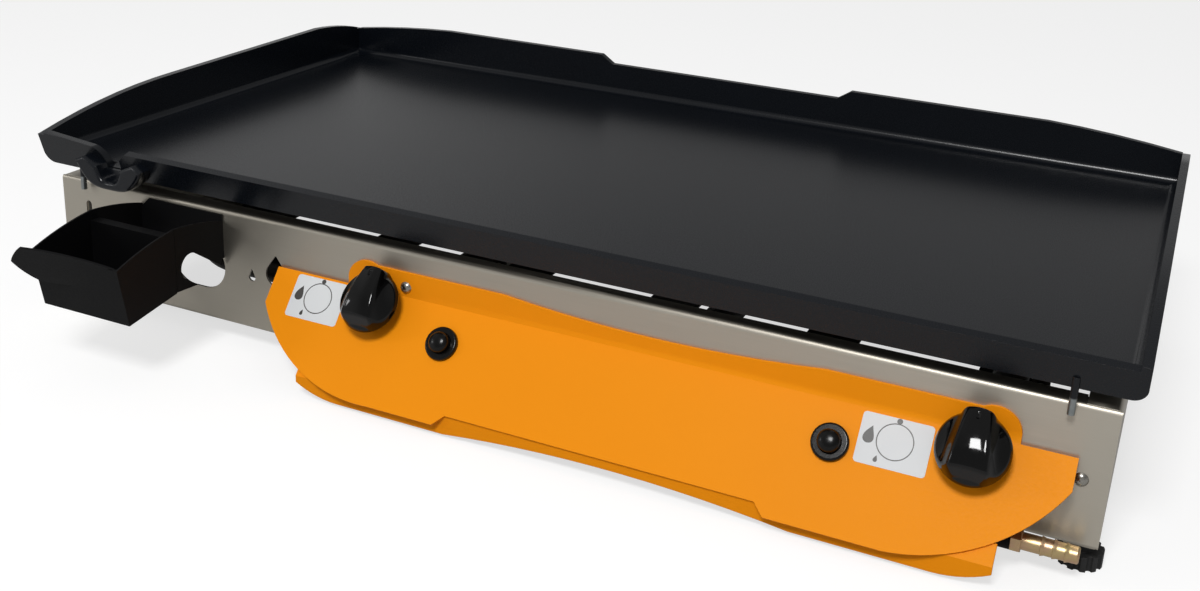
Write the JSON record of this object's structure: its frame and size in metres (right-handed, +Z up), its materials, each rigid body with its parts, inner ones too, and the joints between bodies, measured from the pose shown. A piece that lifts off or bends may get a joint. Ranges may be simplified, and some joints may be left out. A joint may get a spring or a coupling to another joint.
{
  "type": "gas griddle",
  "caption": "Tabletop gas griddle: black enamelled plate with pouring spout over tube burners in a stainless chassis, orange control panel, turn knobs, igniter buttons, hanging drip tray.",
  "frame": {"origin": "centre of the bounding box's footprint, on the table under the rubber feet", "axes": "+X to the right along the plate's long side, +Y from the control panel to the back, +Z up"},
  "size_m": [0.8224, 0.5556, 0.1647],
  "materials": {
    "black_enamel": "black vitreous enamel on steel, satin gloss",
    "stainless": "stainless sheet, fine lengthwise brushing",
    "dark_steel": "heat-darkened steel",
    "bright_steel": "zinc-plated steel",
    "orange_coat": "orange powder coat, satin",
    "black_coat": "matte black coat on steel",
    "yellow_zinc": "yellow passivated steel",
    "brass": "turned brass",
    "rubber": "moulded black rubber",
    "black_knob": "moulded black plastic, gloss",
    "black_plastic": "moulded black plastic, satin",
    "ceramic": "white glazed ceramic"
  },
  "bodies": {
    "chassis": {"burner_shield": "dark_steel", "chassis_screws": "bright_steel", "clip_screws": "bright_steel", "control_panel": "orange_coat", "foot_screws": "bright_steel", "front_panel": "stainless", "gas_rail": "black_coat", "hose_nozzle": "yellow_zinc", "left_burner": "dark_steel", "left_burner_cradles": "dark_steel", "left_igniter": "black_plastic", "left_igniter_nut": "black_plastic", "left_injector": "brass", "left_side_panel": "stainless", "left_spark_electrode": "ceramic", "left_valve": "brass", "lower_skirt": "orange_coat", "panel_screws": "bright_steel", "rail_clips": "bright_steel", "rail_plug": "bright_steel", "rear_panel": "stainless", "rest_brackets": "stainless", "right_burner": "dark_steel", "right_burner_cradles": "dark_steel", "right_igniter": "black_plastic", "right_igniter_nut": "black_plastic", "right_injector": "brass", "right_side_panel": "stainless", "right_spark_electrode": "ceramic", "right_valve": "brass", "rubber_feet": "rubber", "tray_bracket": "black_coat"},
    "griddle": {"griddle_plate": "black_enamel", "pour_spout": "black_enamel", "plate_studs": "bright_steel"},
    "drip_tray": {"drip_tray": "black_coat"},
    "left_stem": {"left_valve_stem": "bright_steel"},
    "left_knob": {"left_knob": "black_knob"},
    "left_button": {"left_igniter_button": "black_plastic"},
    "right_stem": {"right_valve_stem": "bright_steel"},
    "right_knob": {"right_knob": "black_knob"},
    "right_button": {"right_igniter_button": "black_plastic"}
  },
  "joints": [
    {"name": "griddle_lift", "type": "slide", "parent": "chassis", "child": "griddle", "axis": [0, 0, 1], "range_m": [0, 0.15]},
    {"name": "tray_lift", "type": "slide", "parent": "chassis", "child": "drip_tray", "axis": [0, 0, 1], "range_m": [0, 0.06]},
    {"name": "left_knob_turn", "type": "hinge", "parent": "chassis", "child": "left_stem", "pos_m": [-0.097, -0.15738, 0.06624], "axis": [0, -0.788, 0.6157], "range_deg": [0, 140]},
    {"name": "left_knob_push", "type": "slide", "parent": "left_stem", "child": "left_knob", "axis": [0, 0.788, -0.6157], "range_m": [0, 0.003], "stiffness_N_per_m": 1500, "springref_m": -0.001},
    {"name": "left_button_push", "type": "slide", "parent": "chassis", "child": "left_button", "axis": [0, 0.788, -0.6157], "range_m": [0, 0.006], "stiffness_N_per_m": 600, "springref_m": -0.001},
    {"name": "right_knob_turn", "type": "hinge", "parent": "chassis", "child": "right_stem", "pos_m": [0.3236, -0.15738, 0.06624], "axis": [0, -0.788, 0.6157], "range_deg": [0, 140]},
    {"name": "right_knob_push", "type": "slide", "parent": "right_stem", "child": "right_knob", "axis": [0, 0.788, -0.6157], "range_m": [0, 0.003], "stiffness_N_per_m": 1500, "springref_m": -0.001},
    {"name": "right_button_push", "type": "slide", "parent": "chassis", "child": "right_button", "axis": [0, 0.788, -0.6157], "range_m": [0, 0.006], "stiffness_N_per_m": 600, "springref_m": -0.001}
  ]
}
